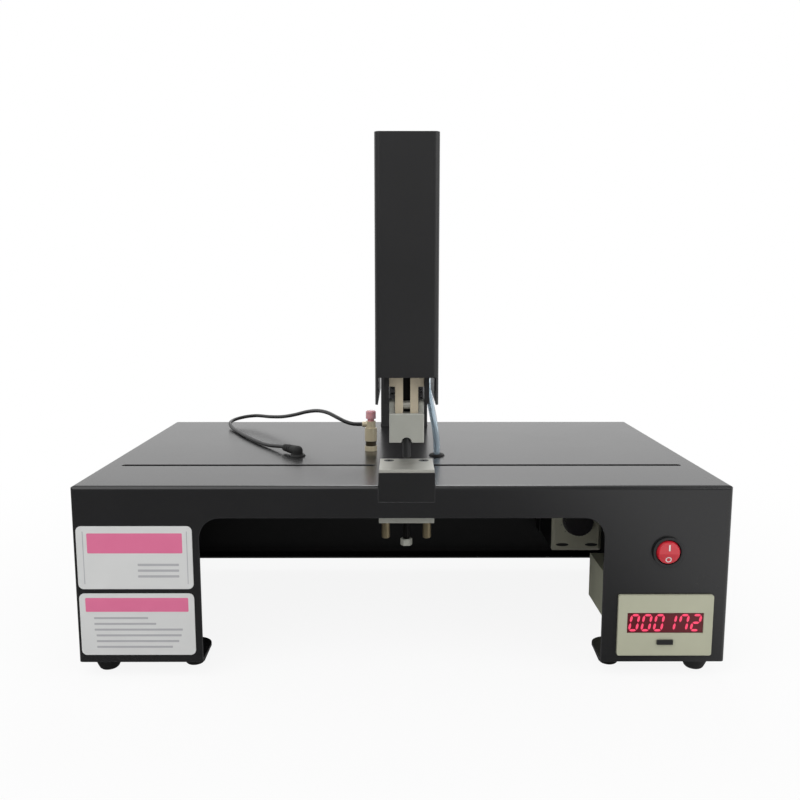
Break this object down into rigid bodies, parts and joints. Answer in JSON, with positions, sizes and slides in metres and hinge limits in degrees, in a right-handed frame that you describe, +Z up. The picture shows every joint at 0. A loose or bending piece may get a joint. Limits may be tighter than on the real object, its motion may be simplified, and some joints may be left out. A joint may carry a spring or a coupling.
{
  "type": "pneumatic stapler",
  "caption": "Bench pneumatic stapler: black bridge table on rubber feet, covered air cylinder over a staple head, anvil, counter, rocker switch and trigger button.",
  "frame": {"origin": "centre of the machine's footprint, on the surface that its feet stand on", "axes": "+X to the operator's right along the table's width, -Y out of the front panel, +Z up"},
  "size_m": [0.495, 0.2943, 0.406],
  "materials": {
    "powder_black": "satin powder coat",
    "black_oxide": "blackened",
    "black_rubber": "matte",
    "cable_jacket": "smooth jacket",
    "zinc_steel": "bright zinc",
    "spring_steel": "drawn wire",
    "staple_wire": "bright wire",
    "ground_steel": "ground",
    "hard_chrome": "polished",
    "yellow_zinc": "yellow zinc",
    "cast_aluminium": "machined",
    "brass": "turned",
    "black_plastic": "moulded",
    "red_plastic": "moulded",
    "red_cap": "moulded",
    "counter_beige": "moulded",
    "window_red": "tinted window",
    "timer_grey": "moulded",
    "knob_black": "moulded",
    "hose_blue": "extruded tube",
    "switch_beige": "moulded",
    "label_white": "printed film"
  },
  "bodies": {
    "machine": {"table_shell": "powder_black", "rear_panel": "powder_black", "base_beam": "powder_black", "column": "powder_black", "arm": "powder_black", "tower_cover": "powder_black", "tower_back": "powder_black", "anvil_pedestal": "powder_black", "guide_cheeks": "powder_black", "frame_bolts": "black_oxide", "flat_screws": "black_oxide", "jack_screw": "black_oxide", "feet": "black_rubber", "grommets": "black_rubber", "trigger_cable": "cable_jacket", "foot_screws": "zinc_steel", "anvil_clamp_plate": "zinc_steel", "jack_nut": "zinc_steel", "tie_rods": "zinc_steel", "return_spring": "spring_steel", "anvil_plate": "ground_steel", "anvil_posts": "yellow_zinc", "cylinder_barrel": "cast_aluminium", "cylinder_top_cap": "cast_aluminium", "cylinder_bottom_cap": "cast_aluminium", "valve_body": "cast_aluminium", "port_fitting": "brass", "air_inlet": "brass", "rocker_frame": "black_plastic", "power_inlet": "black_plastic", "valve_coil": "black_plastic", "timer_socket": "black_plastic", "counter_terminals": "black_plastic", "counter_case": "counter_beige", "counter_window": "window_red", "timer_box": "timer_grey", "air_hose": "hose_blue", "trigger_body": "switch_beige", "label_plates": "label_white"},
    "head": {"nose_block": "ground_steel", "head_hanger": "yellow_zinc", "hanger_pin": "hard_chrome", "magazine_body": "ground_steel", "magazine_rail": "ground_steel", "staple_strip": "staple_wire", "hold_down_spring": "spring_steel", "follow_springs": "spring_steel", "pusher_spring": "spring_steel"},
    "ram": {"piston": "cast_aluminium", "piston_seals": "black_rubber", "piston_rod": "hard_chrome", "ram_block": "ground_steel", "driver_blade": "ground_steel"},
    "hold_down": {"hold_down_plunger": "black_plastic"},
    "pusher": {"staple_pusher": "black_plastic"},
    "rocker": {"rocker": "red_plastic"},
    "timer_knob": {"timer_knob": "knob_black"},
    "reset_button": {"reset_button": "black_plastic"},
    "trigger_button": {"trigger_button": "red_cap"}
  },
  "joints": [
    {"name": "head_stroke", "type": "slide", "parent": "machine", "child": "head", "axis": [0, 0, -1], "range_m": [0, 0.018], "stiffness_N_per_m": 500, "springref_m": -0.05, "deforming": ["return_spring"]},
    {"name": "drive_stroke", "type": "slide", "parent": "head", "child": "ram", "axis": [0, 0, -1], "range_m": [0, 0.012], "stiffness_N_per_m": 500, "springref_m": -0.03, "deforming": ["follow_springs", "return_spring"]},
    {"name": "hold_down_lift", "type": "slide", "parent": "head", "child": "hold_down", "axis": [0, 0, 1], "range_m": [0, 0.0118], "deforming": ["hold_down_spring"]},
    {"name": "pusher_draw", "type": "slide", "parent": "head", "child": "pusher", "axis": [0, 1, 0], "range_m": [0, 0.042], "stiffness_N_per_m": 60, "springref_m": -0.03, "deforming": ["pusher_spring"]},
    {"name": "rocker_tip", "type": "hinge", "parent": "machine", "child": "rocker", "pos_m": [0.2, -0.142, 0.1005], "axis": [1, 0, 0], "range_deg": [-16, 0]},
    {"name": "timer_turn", "type": "hinge", "parent": "machine", "child": "timer_knob", "pos_m": [0.1695, 0.024, 0.076], "axis": [0, 1, 0], "range_deg": [-135, 135]},
    {"name": "reset_press", "type": "slide", "parent": "machine", "child": "reset_button", "axis": [0, 1, 0], "range_m": [0, 0.0012], "stiffness_N_per_m": 400, "springref_m": -0.002},
    {"name": "trigger_press", "type": "slide", "parent": "machine", "child": "trigger_button", "axis": [0, 0, -1], "range_m": [0, 0.002], "stiffness_N_per_m": 400, "springref_m": -0.004}
  ],
  "couplings": [
    {"joint": "hold_down_lift", "follows": "head_stroke", "ratio": 0.6555}
  ]
}
